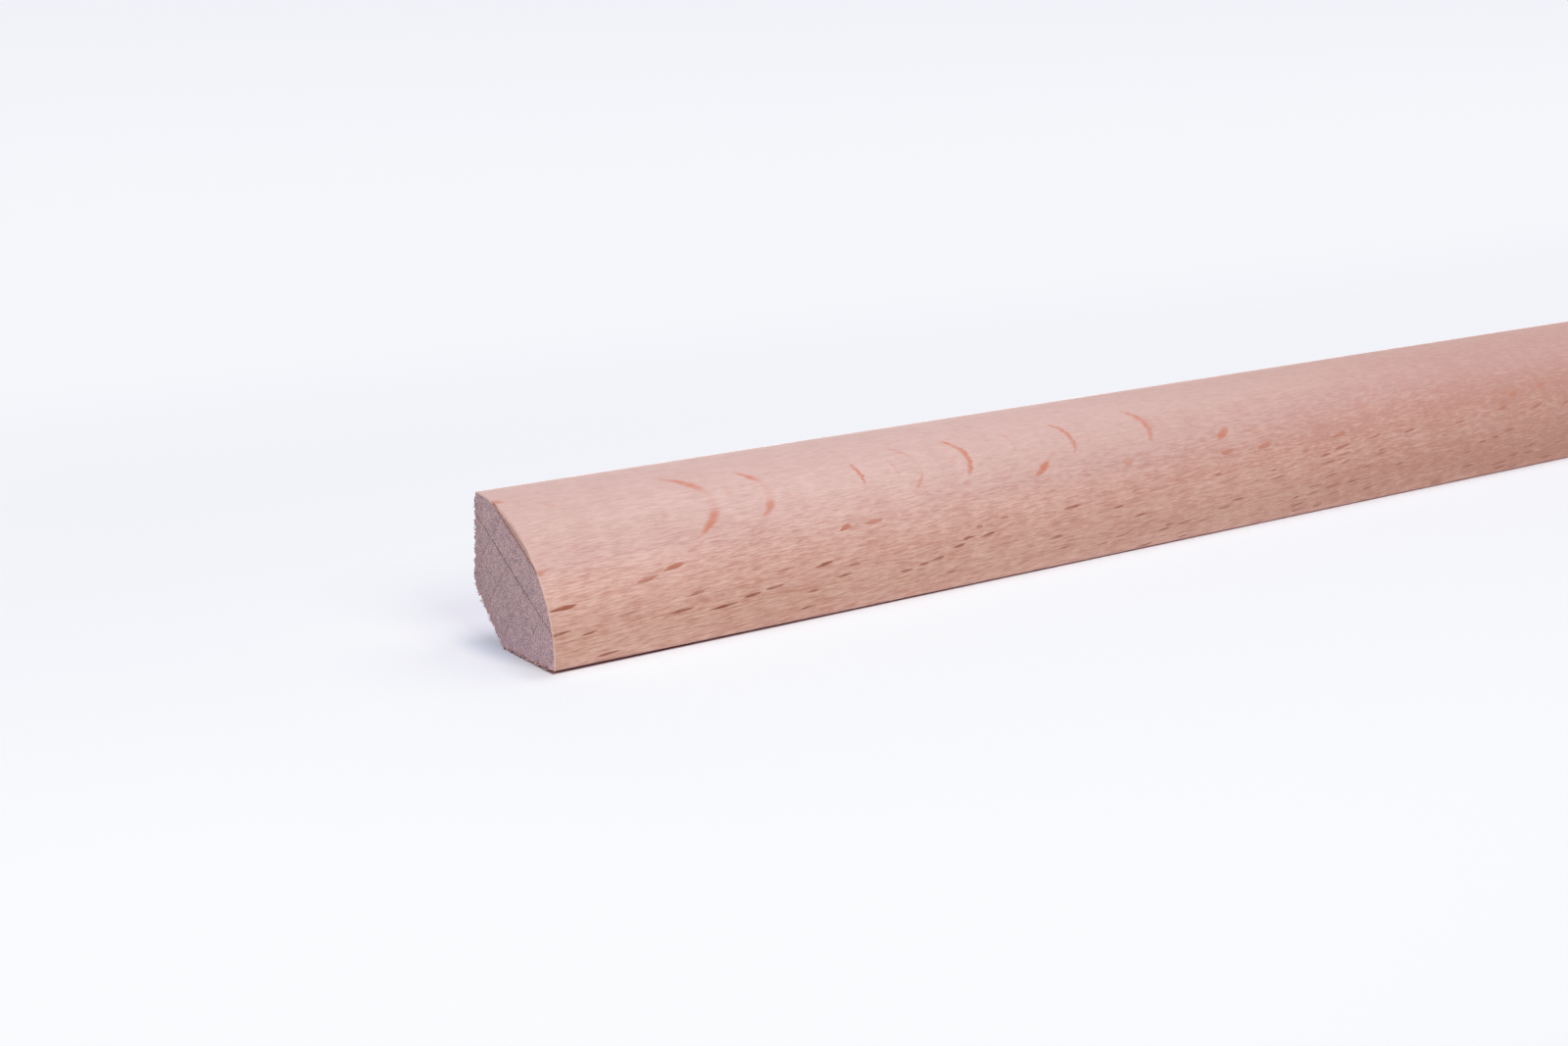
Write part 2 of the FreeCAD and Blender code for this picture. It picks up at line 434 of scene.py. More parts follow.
def stick_tree(section, planed, sawn):
    """One closed skin: a grid whose columns go round the section and whose rows go from the middle of one
    sawn end, over its rim, along the stick and to the middle of the other end."""
    numbers = ("Columns", "Rings", "Stations", "Face Points", "Seed")
    tree, given = geometry_tree("Moulding stick", STICK_INPUTS, numbers)
    radius, rings, stations = given["Face Radius"], given["Rings"], given["Stations"]

    middle = rings + stations
    inputs = {"Vertices X": given["Columns"] + 1.0, "Vertices Y": middle * 2.0 + 1.0}
    mesh = add(tree, "GeometryNodeMeshGrid", inputs, "Mesh")
    around, row, _ = parts_of(tree, mesh.beside("UV Map"))
    row = (row * (middle * 2.0)).sum("ROUND")
    from_end = middle - (row - middle).sum("ABSOLUTE")
    side = (row - middle).sum("SIGN")
    place, inward = on_outline(tree, section, given, around)
    torn = torn_side(tree, place, radius)
    seed = given["Seed"] + side * 7.0
    bevel, drop, burr, worn = damaged_rim(tree, given, place, around, torn, seed)

    # On a sawn end, rows close in on a point inside the section.
    centre = vector_of(tree, 0.0, 0.0, radius * 0.45)
    rim = vector_sum(tree, "ADD", place, scaled(tree, inward, bevel))
    share = (from_end / rings).clamped()
    share = 1.0 - (1.0 - share) ** 1.5
    spoke = scaled(tree, vector_sum(tree, "SUBTRACT", rim, centre), share)
    on_end = vector_sum(tree, "ADD", centre, spoke)
    marks = seeded_noise(tree, on_end, 3.0, 0.65, 900.0, seed + 11.0)
    end_depth = marks * (0.07 * MM) - torn * burr * share.ramp(0.93, 1.0) * given["Burr Height"]

    # On the skin, rows stand close together at the ends and far apart in the middle.
    run = ((from_end - rings - 1.0) / (stations - 1.0)).clamped()
    crowd = 5.5
    reach = ((run * crowd).sum("EXPONENT") - 1.0) / (math.exp(crowd) - 1.0)
    half = given["Length"] * 0.5 - given["End Gap"]
    skin_depth = drop * (1.0 - reach) + half * reach

    on_skin = from_end.sum("GREATER_THAN", rings + 0.5)
    depth = end_depth + on_skin * (skin_depth - end_depth)
    x = side * (half - depth)
    _, end_y, end_z = parts_of(tree, on_end)
    _, skin_y, skin_z = parts_of(tree, place)
    y = end_y + on_skin * (skin_y - end_y)
    z = end_z + on_skin * (skin_z - end_z)
    moved = moved_to(tree, mesh, vector_of(tree, x, y, lifted(given, x, y, z)))

    bake_place = copying_map(tree, given, around, from_end, side)
    mapped = stored(tree, moved, "OFBake", bake_place, "FLOAT2", "CORNER")
    # The torn edge is marked for a darker, redder border: partly bruised wood, partly painted shade
    edge = torn * share.ramp(0.80, 1.0) * (1.0 - on_skin * reach.ramp(0.0, 0.004))
    marked = stored(tree, mapped, "torn_shaded_edge", edge)
    # The rows at the rim are marked for a paler colour: partly crushed fibres, partly a painted highlight
    # where the rim bevel catches light
    rim_row = from_end.sum("COMPARE", rings + 0.5, 0.6)
    crushed_and_highlit = stored(tree, marked, "crushed_highlit_rim", rim_row * (1.0 - torn) * (1.0 - worn * 0.75))
    closed = add(tree, "GeometryNodeMergeByDistance", {"Geometry": crushed_and_highlit, "Distance": 0.0001 * MM})
    smooth = add(tree, "GeometryNodeSetShadeSmooth", {"Geometry": closed, "Shade Smooth": True})
    sharp = add(tree, "GeometryNodeInputMeshEdgeAngle").sum("GREATER_THAN", math.radians(28.0))
    inputs = {"Geometry": smooth, "Selection": sharp, "Shade Smooth": False}
    creased = add(tree, "GeometryNodeSetShadeSmooth", inputs, domain="EDGE")
    whole = add(tree, "GeometryNodeRealizeInstances", {"Geometry": creased})
    rough = on_faces(tree, from_end).sum("LESS_THAN", rings + 1.0)
    finished = painted(tree, painted(tree, whole, planed), sawn, Selection=rough)
    return give(tree, {"Geometry": finished})


def in_the_scene(name, data):
    """A new object that stands in the scene."""
    item = bpy.data.objects.new(name, data)
    bpy.context.scene.collection.objects.link(item)
    return item


def run_tree(name, tree, inputs):
    """Evaluates a tree on an empty mesh and gives the result as an object with a plain mesh."""
    carrier = in_the_scene(name + "_carrier", bpy.data.meshes.new(name + "_carrier"))
    modifier = carrier.modifiers.new("Shape", "NODES")
    modifier.node_group = tree
    sockets = {s.name: s.identifier for s in tree.interface.items_tree if s.in_out == "INPUT"}
    for label, value in inputs.items():
        modifier[sockets[label]] = value
    bpy.context.view_layer.update()
    evaluated = carrier.evaluated_get(bpy.context.evaluated_depsgraph_get())
    mesh = bpy.data.meshes.new_from_object(evaluated)
    mesh.name = name
    bpy.data.objects.remove(carrier)
    if not mesh.polygons:
        raise RuntimeError(f"{name} came out empty")
    return in_the_scene(name, mesh)


def one_fibre(tree, curl):
    """A tapered fibre, one unit long and one thick, that stands on Z and curls over."""
    inputs = {
        "Resolution": 5,
        "Start": (0.0, 0.0, 0.0),
        "Middle": (0.0, 0.0, 0.6),
        "End": vector_of(tree, curl, 0.0, 1.0 - curl * 0.5),
    }
    bend = add(tree, "GeometryNodeCurveQuadraticBezier", inputs)
    along = add(tree, "GeometryNodeSplineParameter", output="Factor")
    tapered = add(tree, "GeometryNodeSetCurveRadius", {"Curve": bend, "Radius": 1.0 - along * 0.75})
    profile = add(tree, "GeometryNodeCurvePrimitiveCircle", {"Resolution": 4, "Radius": 0.5})
    inputs = {"Curve": tapered, "Profile Curve": profile, "Fill Caps": True}
    return add(tree, "GeometryNodeCurveToMesh", inputs)


def fibres_on_end(section):
    """Fibres that stand out of one sawn end along a stretch of the section's outline, in tufts."""
    tree, given = geometry_tree("Fibres on one end", (*FIBRE_INPUTS, "Side"), FIBRE_NUMBERS)
    tuft = (add(tree, "GeometryNodeInputIndex") / given["In Tuft"]).sum("FLOOR")

    def chance(low, high, number, group=None):
        """A random number for each fibre, or for each group. Inputs 2 and 3 take plain limits."""
        inputs = {2: low, 3: high, "Seed": given["Seed"] + float(number)}
        if group:
            inputs["ID"] = group
        return add(tree, "FunctionNodeRandomValue", inputs, 1, data_type="FLOAT")

    line = add(tree, "GeometryNodeMeshLine", {"Count": given["Count"]})
    start = given["Stretch Start"]
    around = start + chance(0.0, 1.0, 1, tuft) * (given["Stretch End"] - start)
    around = around + chance(-0.5, 0.5, 2) * given["Tuft Width"]
    place, inward = on_outline(tree, section, given, around)
    _, in_y, in_z = parts_of(tree, inward)
    _, y, z = parts_of(tree, place)
    inset = given["Inset"] + chance(0.0, 1.0, 3) ** 2.0 * given["Spread"]
    root_depth = 0.06 * MM
    x = given["Side"] * (given["Length"] * 0.5 - given["End Gap"] - root_depth)
    y = y + in_y * inset
    z = lifted(given, x, y, z + in_z * inset)
    roots = moved_to(tree, line, vector_of(tree, x, y, z))

    lean = given["Lean"] * chance(0.4, 1.0, 4, tuft)
    lean_y = chance(-0.3, 0.3, 5) - in_y * lean
    lean_z = chance(-0.3, 0.3, 6) - in_z * lean
    way = vector_of(tree, given["Side"], lean_y, lean_z)
    pointing = add(tree, "FunctionNodeAlignRotationToVector", {"Vector": way}, axis="Z")
    turn = vector_of(tree, 0.0, 0.0, chance(0.0, 6.28, 7))
    spin = add(tree, "FunctionNodeEulerToRotation", {"Euler": turn})
    inputs = {"Rotation": pointing, "Rotate By": spin}
    turned = add(tree, "FunctionNodeRotateRotation", inputs, rotation_space="LOCAL")
    share = chance(0.0, 1.0, 8) ** 2.0
    length = given["Shortest"] + share * (given["Longest"] - given["Shortest"])
    width = given["Thickness"] * chance(0.5, 1.4, 9)
    flat = width * chance(0.35, 1.0, 10)
    inputs = {
        "Points": roots,
        "Instance": one_fibre(tree, given["Curl"]),
        "Rotation": turned,
        "Scale": vector_of(tree, width, flat, length),
    }
    stood = add(tree, "GeometryNodeInstanceOnPoints", inputs)
    return give(tree, {"Fibres": stood})


def fibres_tree(section, material):
    """The fibres on both sawn ends, kept inside the box of the stick."""
    one_end = fibres_on_end(section)
    tree, given = geometry_tree("Torn fibres", FIBRE_INPUTS, FIBRE_NUMBERS)
    both = tree.nodes.new("GeometryNodeJoinGeometry")
    for side in (-1.0, 1.0):
        inputs = {**given, "Side": side, "Seed": given["Seed"] + (side + 1.0) * 50.0}
        plug(tree, both, {0: add(tree, "GeometryNodeGroup", inputs, node_tree=one_end)})
    real = add(tree, "GeometryNodeRealizeInstances", {"Geometry": Wire(tree, both.outputs[0])})
    half, radius = given["Length"] * 0.5, given["Face Radius"]
    place = add(tree, "GeometryNodeInputPosition")
    place = vector_sum(tree, "MAXIMUM", place, vector_of(tree, half * -1.0, radius * -0.5, 0.0))
    place = vector_sum(tree, "MINIMUM", place, vector_of(tree, half, radius * 0.5, radius))
    finished = painted(tree, moved_to(tree, real, place), material)
    return give(tree, {"Geometry": finished})


def turned_to_rays(out, up):
    """For a place this far out from the wall and up from the floor: its height square to the planes of the
    rays, and the way out along those planes."""
    return out * RAY_SINE + up * RAY_COSINE, out * RAY_COSINE - up * RAY_SINE


def wood_place(tree):
    """Places in the wood, in millimetres: the way from the near end, the height over the corner where the
    floor meets the wall, square to the planes of the rays, and the way out along those planes."""
    x, y, z = parts_of(tree, add(tree, "ShaderNodeTexCoord", output="Object"))
    x = (x + STICK_LENGTH / 2) * (1 / MM)
    out = (y * -1.0 + FACE_RADIUS / 2) * (1 / MM)
    return x, *turned_to_rays(out, z * (1 / MM))


def one_ray(tree, place, before, core, middle, length, thickness, climb, darkness, reach):
    """Adds one ray to the darkness that is there before it. It is a flat, pointed lens that is fully dark
    out to a share of its size, its core."""
    inputs = {
        "Vector": place,
        "Location": middle,
        "Rotation": (0.0, 0.0, math.atan(climb)),
        "Scale": (length / 2, thickness / 2, reach),
    }
    local = add(tree, "ShaderNodeMapping", inputs, vector_type="TEXTURE")
    return size_of(tree, local).ramp(1.25, core, 0.0, darkness).sum("MAXIMUM", before)


def face_rays(tree, place, before, core, rays):
    """Adds the rays that come out on the rounded face."""
    for from_end, degrees, below, *shape in rays:
        angle = math.radians(degrees) - RAY_SLOPE
        radius = FACE_RADIUS / MM - below
        middle = (from_end, radius * math.cos(angle), radius * math.sin(angle))
        before = one_ray(tree, place, before, core, middle, *shape)
    return before


def sawn_end_rays(tree, place, before):
    """Adds the rays that come out in the sawn end."""
    for out, up, thickness, darkness, reach in SAWN_END_RAYS:
        middle = (0.0, *turned_to_rays(out, up))
        before = one_ray(tree, place, before, 0.7, middle, 3.0, thickness, 0.05, darkness, reach)
    return before


def small_rays(tree, grain, across, fray):
    """The short, fine rays between the broad ones."""
    cells = vector_of(tree, (grain + fray) / 1.5, across / 0.12, 0.0)
    away, pick, _, dark = cells_at(tree, cells, dimensions="2D")
    return away.ramp(0.55, 0.2) * pick.sum("LESS_THAN", 0.20) * dark


def beech_group():
    """The pattern of the wood: what each of its parts does at a place, from 0 to 1."""
    tree = bpy.data.node_groups.new("Beech", "ShaderNodeTree")
    x, height, depth = wood_place(tree)
    grain = x + height * GRAIN_DRIFT
    across = height - x * GRAIN_DRIFT
    place = vector_of(tree, grain, across, depth)
    wander = noise(tree, place, (55.0, 9.0, 9.0), 4.0) - 0.5
    fray = noise(tree, place, (1.9, 0.16, 0.4), 9.0) - 0.5
    across = across + wander * 1.4
    bent = vector_of(tree, grain, across, depth + wander * 1.2)

    # Broad rays scattered over the stick, in loose clusters
    clusters = noise(tree, bent, (14.0, 1.6, 40.0), 7.0)
    cells = vector_of(tree, (grain + fray * 1.6) / 3.2, (across + fray * 0.05) / 0.23, depth / 9.0)
    away, pick, size, dark = cells_at(tree, cells, 0.85)
    chosen = pick.sum("LESS_THAN", clusters.ramp(0.35, 0.65, 0.050, 0.260))
    away = away / (size * 0.22 + 0.28)
    rays = away.ramp(1.15, 0.65) * chosen * (dark * 0.4 + 0.48) * x.ramp(57.0, 60.0)
    up = height * RAY_COSINE - depth * RAY_SINE
    rays = rays * up.ramp(13.6, 12.2, 0.1, 1.0) * height.ramp(13.9, 12.9, 0.15, 1.0)

    # The rays that the lists at the top place one by one
    frayed = vector_of(tree, x + fray * 2.2, height + fray * 0.14, depth)
    dashes = [(from_end, degrees, 0.0, *shape, DASH_REACH) for from_end, degrees, *shape in DASHES]
    rays = sawn_end_rays(tree, frayed, face_rays(tree, frayed, rays, 0.72, dashes))
    softly_frayed = vector_of(tree, x + fray * 1.1, height + fray * 0.06, depth)
    rays = face_rays(tree, softly_frayed, rays, 0.55, CRESCENTS)
    broad_crescents = face_rays(tree, softly_frayed, 0.0, 0.35, BROAD_CRESCENTS)

    streaks = noise(tree, bent, (18.0, 0.55, 0.55), 1.0, 2.0, 0.6)
    fibres = noise(tree, bent, (2.4, 0.14, 0.14), 2.0, 2.0, 0.65)
    tone = noise(tree, bent, (60.0, 3.5, 3.5), 3.0)
    figure = noise(tree, bent, (2.6, 4.0, 7.0), 8.0)
    mottle = noise(tree, bent, (1.1, 0.35, 0.5), 6.0, 2.0, 0.6)
    # Painted shade: from 50 mm to 150 mm away from the near end the wood is made warmer here and darker below
    far = x.ramp(50.0, 150.0)
    heart = (depth + (tone - 0.5) * 6.0 + far * 2.0).ramp(2.0, 8.0)
    heart = (heart + far * 0.45).clamped()

    # The borders of the growth rings stand square to the rays.
    ring = (depth + wander * 1.2 + fray * 0.12) / 3.4 - 0.65
    rings = (ring.sum("FRACT") - 0.5).sum("ABSOLUTE").ramp(0.035, 0.012)

    # The fibres show less on the pinker wood towards the wall.
    hatching = depth.ramp(-5.0, 6.5, 0.50, 1.0) * x.ramp(10.0, 90.0, 1.12, 0.88)
    light = (fibres - 0.5) * 2.2 + (streaks - 0.5) * 0.55 + (tone - 0.5) * 0.5 + (mottle - 0.5) * 0.8
    light = light + (figure - 0.5) * 0.5
    # Painted shade: the far part of the stick is made darker
    light = (light * hatching + 0.5 - far * 0.38).clamped()

    results = {
        "Broad Crescents": broad_crescents,
        "Rays": rays,
        "Small Rays": small_rays(tree, grain, across, fray),
        "Light": light,
        "Fibres": fibres,
        "Mottle": mottle,
        "Hatching": hatching,
        "Heart": heart,
        "Height": height,
        "Rings": rings,
    }
    return give(tree, results, "NodeSocketFloat")


def mixed(tree, share, first, second):
    """Two colours mixed. A colour that is given as three numbers is one for the eye."""
    inputs = {"Factor": share}
    for socket, colour in ((6, first), (7, second)):
        inputs[socket] = colour if isinstance(colour, Wire) else (*to_linear(colour), 1.0)
    return add(tree, "ShaderNodeMix", inputs, 2, data_type="RGBA")


def new_material(name):
    """A material with one Principled shader, its tree and the shader."""
    material = bpy.data.materials.new(name)
    material.use_nodes = True
    tree = material.node_tree
    shader = next(node for node in tree.nodes if node.type == "BSDF_PRINCIPLED")
    return material, tree, shader


def beech_parts(tree, beech):
    """The wires of the wood's pattern, by name."""
    return wires_of(tree, add(tree, "ShaderNodeGroup", node_tree=beech).socket.node)


def attribute(tree, name):
    """A value that the mesh carries under a name."""
    return add(tree, "ShaderNodeAttribute", output="Fac", attribute_name=name)


def bump(tree, height, strength, distance):
    """The slopes of a fine relief."""
    return add(tree, "ShaderNodeBump", {"Strength": strength, "Distance": distance, "Height": height})


def planed_material(beech, colours):
    """Beech as the moulder and a light sanding leave it: satin, with fine lengthwise hatching."""
    material, tree, shader = new_material("planed_beech")
    wood = beech_parts(tree, beech)
    _, y, z = parts_of(tree, add(tree, "ShaderNodeTexCoord", output="Normal"))
    along_rays = (z * RAY_COSINE - y * RAY_SINE).sum("ABSOLUTE")

    pale = mixed(tree, wood["Light"], colours.pale_dark, colours.pale_light)
    warm = mixed(tree, wood["Light"], colours.warm_dark, colours.warm_light)
    colour = mixed(tree, wood["Heart"], pale, warm)
    colour = mixed(tree, wood["Small Rays"] * 0.25, colour, colours.ray)
    ray = mixed(tree, along_rays.ramp(0.99, 0.78), colours.ray, colours.cut_ray)
    crescents = wood["Broad Crescents"] * along_rays.ramp(0.9985, 0.990, 0.25, 1.0)
    rays = wood["Rays"].sum("MAXIMUM", crescents) * wood["Mottle"].ramp(0.32, 0.60, 0.66, 1.0)
    colour = mixed(tree, rays, colour, ray)
    fibres = wood["Hatching"] * (wood["Fibres"] - 0.5)
    # Painted highlight: the rim rows are made paler, partly as crushed fibres and partly as the light the rim
    # catches
    surface = {
        "Base Color": mixed(tree, attribute(tree, "crushed_highlit_rim") * 0.4, colour, colours.crushed_and_highlit),
        "Roughness": 0.50 + fibres * 0.25,
        "Specular IOR Level": 0.5,
        "Normal": bump(tree, fibres + wood["Mottle"] * 0.25, 0.8, 0.03 * MM),
    }
    plug(tree, shader, surface)
    return material


def sawn_material(beech, colours):
    """End grain as the saw leaves it: greyer, full of torn pores, with the rays as fine lines."""
    material, tree, shader = new_material("sawn_beech")
    wood = beech_parts(tree, beech)
    torn, crushed_and_highlit = attribute(tree, "torn_shaded_edge"), attribute(tree, "crushed_highlit_rim")
    point = scaled(tree, add(tree, "ShaderNodeTexCoord", output="Object"), 1 / MM)
    speckle = noise(tree, point, (0.13, 0.13, 0.13), 21.0, 1.0, 0.6)
    patch = noise(tree, point, (0.5, 0.5, 0.5), 22.0, 2.0, 0.6)

    colour = mixed(tree, patch.ramp(0.35, 0.65), colours.end_grain, colours.end_grain_warm)
    pores = speckle.ramp(0.44, 0.28)
    crumbs = speckle.ramp(0.55, 0.72)
    shade = 1.0 + (patch - 0.5) * 0.95 + crumbs * 0.78 - pores * 0.68
    # Painted light and shade: the sawn face is made lighter towards its top and darker towards its bottom
    colour = scaled(tree, colour, shade * wood["Height"].ramp(2.0, 13.0, 0.95, 1.08))
    outside_the_arc_line = wood["Height"].ramp(13.0, 13.2) * (1.0 - torn)
    colour = mixed(tree, outside_the_arc_line * 0.45, colour, colours.chipped)
    line_colour = mixed(tree, wood["Height"].ramp(12.3, 12.7, 0.0, 0.6), colours.end_line, colours.cut_ray)
    lines = wood["Rays"].sum("MAXIMUM", wood["Rings"] * 0.45)
    colour = mixed(tree, lines * speckle.ramp(0.80, 0.35) * 0.9, colour, line_colour)
    # Darker, redder border along the torn edges: partly bruised wood, partly painted shade
    colour = mixed(tree, torn * patch.ramp(0.30, 0.60) * 0.6, colour, colours.torn)
    # Paler rim: partly crushed fibres, partly a painted highlight where the rim catches light
    colour = mixed(tree, crushed_and_highlit * speckle.ramp(0.25, 0.55, 0.1, 0.7), colour, colours.crushed_and_highlit)
    relief = bump(tree, speckle, 1.0, 0.12 * MM)
    surface = {"Base Color": colour, "Roughness": 0.85, "Specular IOR Level": 0.25, "Normal": relief}
    plug(tree, shader, surface)
    return material


def fibre_material(colours):
    """Loose fibres: the colour of the torn edge, paler in patches as painted light getting through them, and
    with painted shade in patches close to the floor.
    """
    material, tree, shader = new_material("torn_fibre")
    point = scaled(tree, add(tree, "ShaderNodeTexCoord", output="Object"), 1 / MM)
    patch = noise(tree, point, (0.6, 0.20, 0.20), 31.0)
    colour = mixed(tree, patch.ramp(0.40, 0.62), colours.torn, colours.fibre)
    # Painted shade: fibres less than about half a millimetre above the floor are darkened in patches
    bottom = parts_of(tree, point)[2].ramp(0.6, 0.3)
    colour = mixed(tree, bottom * patch.ramp(0.52, 0.44), colour, colours.end_line)
    plug(tree, shader, {"Base Color": colour, "Roughness": 0.8, "Specular IOR Level": 0.3})
    return material


def length_property(name, description, default):
    """A length in metres."""
    return FloatProperty(name=name, description=description, default=default, unit="LENGTH")


def angle_property(name, description, degrees):
    """An angle that is written in degrees."""
    return FloatProperty(name=name, description=description, default=math.radians(degrees), subtype="ANGLE")


def number_property(name, description, default, least=1):
    """A whole number."""
    return IntProperty(name=name, description=description, default=default, min=least)


def colour_property(name, description, red, green, blue):
    """A colour as the eye reads it, from 0 to 255."""
    return FloatVectorProperty(
        name=name,
        description=description,
        default=(red / 255, green / 255, blue / 255),
        subtype="COLOR_GAMMA",
        min=0.0,
        max=1.0,
    )


class MouldingSizes(bpy.types.PropertyGroup):
    """Sizes of the stick and of what the saw left on its ends."""

    length: length_property("Length", "Length of the stick", STICK_LENGTH)
    face_radius: length_property(
        "Face radius", "Radius of the rounded face, also the height and depth of the section", FACE_RADIUS
    )
    relief_leg: length_property(
        "Relief leg", "How far the cut-away back corner runs along the floor and up the wall", RELIEF_LEG
    )
    arris_radius: length_property("Arris radius", "Rounding of the long edges", 0.3 * MM)
    end_gap: length_property(
        "End gap", "How far a sawn face lies inside the tips of its torn fibres", 0.22 * MM
    )
    rim_bevel: length_property(
        "Rim bevel", "Width of the crushed rim between a sawn face and the long faces", 0.11 * MM
    )
    tear_depth: length_property("Tear depth", "Deepest bite out of a torn rim", 0.50 * MM)
    burr_height: length_property(
        "Burr height", "Highest burr that the saw pushed out of a torn rim", 0.18 * MM
    )
    worn_rim: length_property(
        "Worn rim", "How much wider the rim is where it is broken, near the top of the face", 0.14 * MM
    )
    toe_lift: length_property(
        "Toe lift", "How far the front bottom edge stands off the floor at the sawn ends", 0.25 * MM
    )
    lift_length: length_property("Lift length", "Distance over which the lift dies out", 0.06)
    columns: number_property("Columns", "Faces round the section", 360, 24)
    fibres: number_property("Edge fuzz", "Short fibres along the torn edges of each end", 420)
    tufts: number_property("Tufts", "Curled tufts on the back edges of each end", 5)
    splinters: number_property("Splinters", "Splinters on the floor edge of each end", 90)
    seed: number_property("Seed", "Another number gives other chips and fibres", 5, 0)


class BeechColours(bpy.types.PropertyGroup):
    """Colours of the wood."""

    pale_light: colour_property("Pale wood, light", "Light fibres of the pinker wood", 219, 184, 178)
    pale_dark: colour_property("Pale wood, dark", "Dark fibres of the pinker wood", 195, 150, 142)
    warm_light: colour_property("Warm wood, light", "Light fibres of the warmer wood", 227, 186, 176)
    warm_dark: colour_property("Warm wood, dark", "Dark fibres of the warmer wood", 194, 139, 126)
    ray: colour_property("Ray", "Rays that the face cuts along their side", 198, 120, 94)
    cut_ray: colour_property("Cut ray", "Rays that the face cuts across", 140, 70, 48)
    # The paler rim is partly crushed fibres and partly a painted highlight where the rim catches light
    crushed_and_highlit: colour_property("Crushed rim", "Pale rim where the saw broke through the face", 216, 183, 173)
    chipped: colour_property("Chipped rim", "Sawn face outside the tear near the rounded face", 208, 160, 148)
    end_grain: colour_property("End grain", "Ground of the sawn face", 183, 156, 169)
    end_grain_warm: colour_property("Warm end grain", "Warmer patches of the sawn face", 181, 151, 161)
    end_line: colour_property("End grain lines", "Rays in the sawn face", 112, 84, 84)
    # On the sawn face this darker border is partly bruised wood and partly painted shade; the loose fibres
    # take it as their own colour
    torn: colour_property("Torn edge", "Bruised border of the sawn face", 174, 139, 140)
    fibre: colour_property("Fibre", "Loose fibres on the torn edge", 214, 184, 178)


class StageSettings(bpy.types.PropertyGroup):
    """The camera and the light."""

    camera_place: FloatVectorProperty(
        name="Camera place",
        description="Where the camera stands",
        default=(-0.61103, -0.17921, 0.07249),
        subtype="TRANSLATION",
        unit="LENGTH",
    )
    camera_pan: angle_property("Pan", "Turn of the view from the wall towards the far end", 38.54)
    camera_pitch: angle_property("Pitch", "How far the view looks down", 15.74)
    camera_roll: angle_property("Roll", "How far the right side of the camera is raised", 1.92)
    lens: FloatProperty(name="Lens", description="Focal length", default=54.82, unit="CAMERA")
    sky_level: FloatProperty(
        name="Sky level", description="Light from all round; 1 shows a colour as written", default=0.05
    )
    lamp_level: FloatProperty(
        name="Lamp level", description="Makes all the softboxes brighter or darker", default=0.92
    )
    paper: colour_property("Paper", "White of the floor", 246, 247, 251)
    # Away from the stick the floor's plain white fades to this one, a painted fall of light; the backdrop is
    # this white
    far_paper: colour_property("Far paper", "White of the backdrop", 241, 242, 248)


def sizes_for(names, sizes):
    """The sizes that the inputs of a tree are named after."""
    return {name: getattr(sizes, name.lower().replace(" ", "_")) for name in names}


class MOULDING_OT_stick(bpy.types.Operator):
    """Makes the stick, planed on its long faces and sawn at both ends"""

    bl_idname = "moulding.stick"
    bl_label = "Make the stick"

    def execute(self, context):
        sizes, colours = context.scene.moulding_sizes, context.scene.beech_colours
        beech = bpy.data.node_groups.get("Beech") or beech_group()
        section = bpy.data.node_groups.get("Moulding section") or section_group()
        tree = stick_tree(section, planed_material(beech, colours), sawn_material(beech, colours))
        inputs = sizes_for((*STICK_INPUTS, "Columns", "Seed"), sizes)
        inputs.update({"Rings": RINGS, "Stations": STATIONS, "Face Points": FACE_POINTS})
        stick = run_tree("moulding_stick", tree, inputs)
        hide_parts(NODE)
        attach(stick, BODY)
        return {"FINISHED"}


class MOULDING_OT_torn_fibres(bpy.types.Operator):
    """Stands torn fibres and splinters on the edges of the sawn ends"""

    bl_idname = "moulding.torn_fibres"
    bl_label = "Make the torn fibres"

    def execute(self, context):
        sizes, colours = context.scene.moulding_sizes, context.scene.beech_colours
        section = bpy.data.node_groups.get("Moulding section") or section_group()
        tree = fibres_tree(section, fibre_material(colours))
        counts = (sizes.fibres, sizes.tufts * IN_CURLED_TUFT, sizes.splinters)
        for place, (name, count) in enumerate(zip(FIBRE_KINDS, counts), start=1):
            inputs = sizes_for(SHARED_INPUTS, sizes)
            inputs.update(zip((*KIND_INPUTS, "In Tuft"), FIBRE_KINDS[name]))
            inputs.update({"Face Points": FACE_POINTS, "Count": count, "Seed": sizes.seed + 100 * place})
            piece = run_tree(name, tree, inputs)
            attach(piece, BODY)
        return {"FINISHED"}


def camera_turn(pan, pitch, roll):
    """The turn of a camera that looks from the front to the wall and pans to the far end."""
    ahead = Vector((math.sin(pan) * math.cos(pitch), math.cos(pan) * math.cos(pitch), -math.sin(pitch)))
    level = Vector((math.cos(pan), -math.sin(pan), 0.0))
    below = ahead.cross(level)
    right = level * math.cos(roll) - below * math.sin(roll)
    down = level * math.sin(roll) + below * math.cos(roll)
    return Matrix((right, -down, -ahead)).transposed()


def seen_directly(tree):
    """1 for what the camera, a reflection or a see-through surface shows, and 0 for light on its way."""
    seen = camera_ray = add(tree, "ShaderNodeLightPath", output="Is Camera Ray")
    for ray in ("Is Glossy Ray", "Is Transmission Ray"):
        seen = seen.sum("MAXIMUM", camera_ray.beside(ray))
    return seen


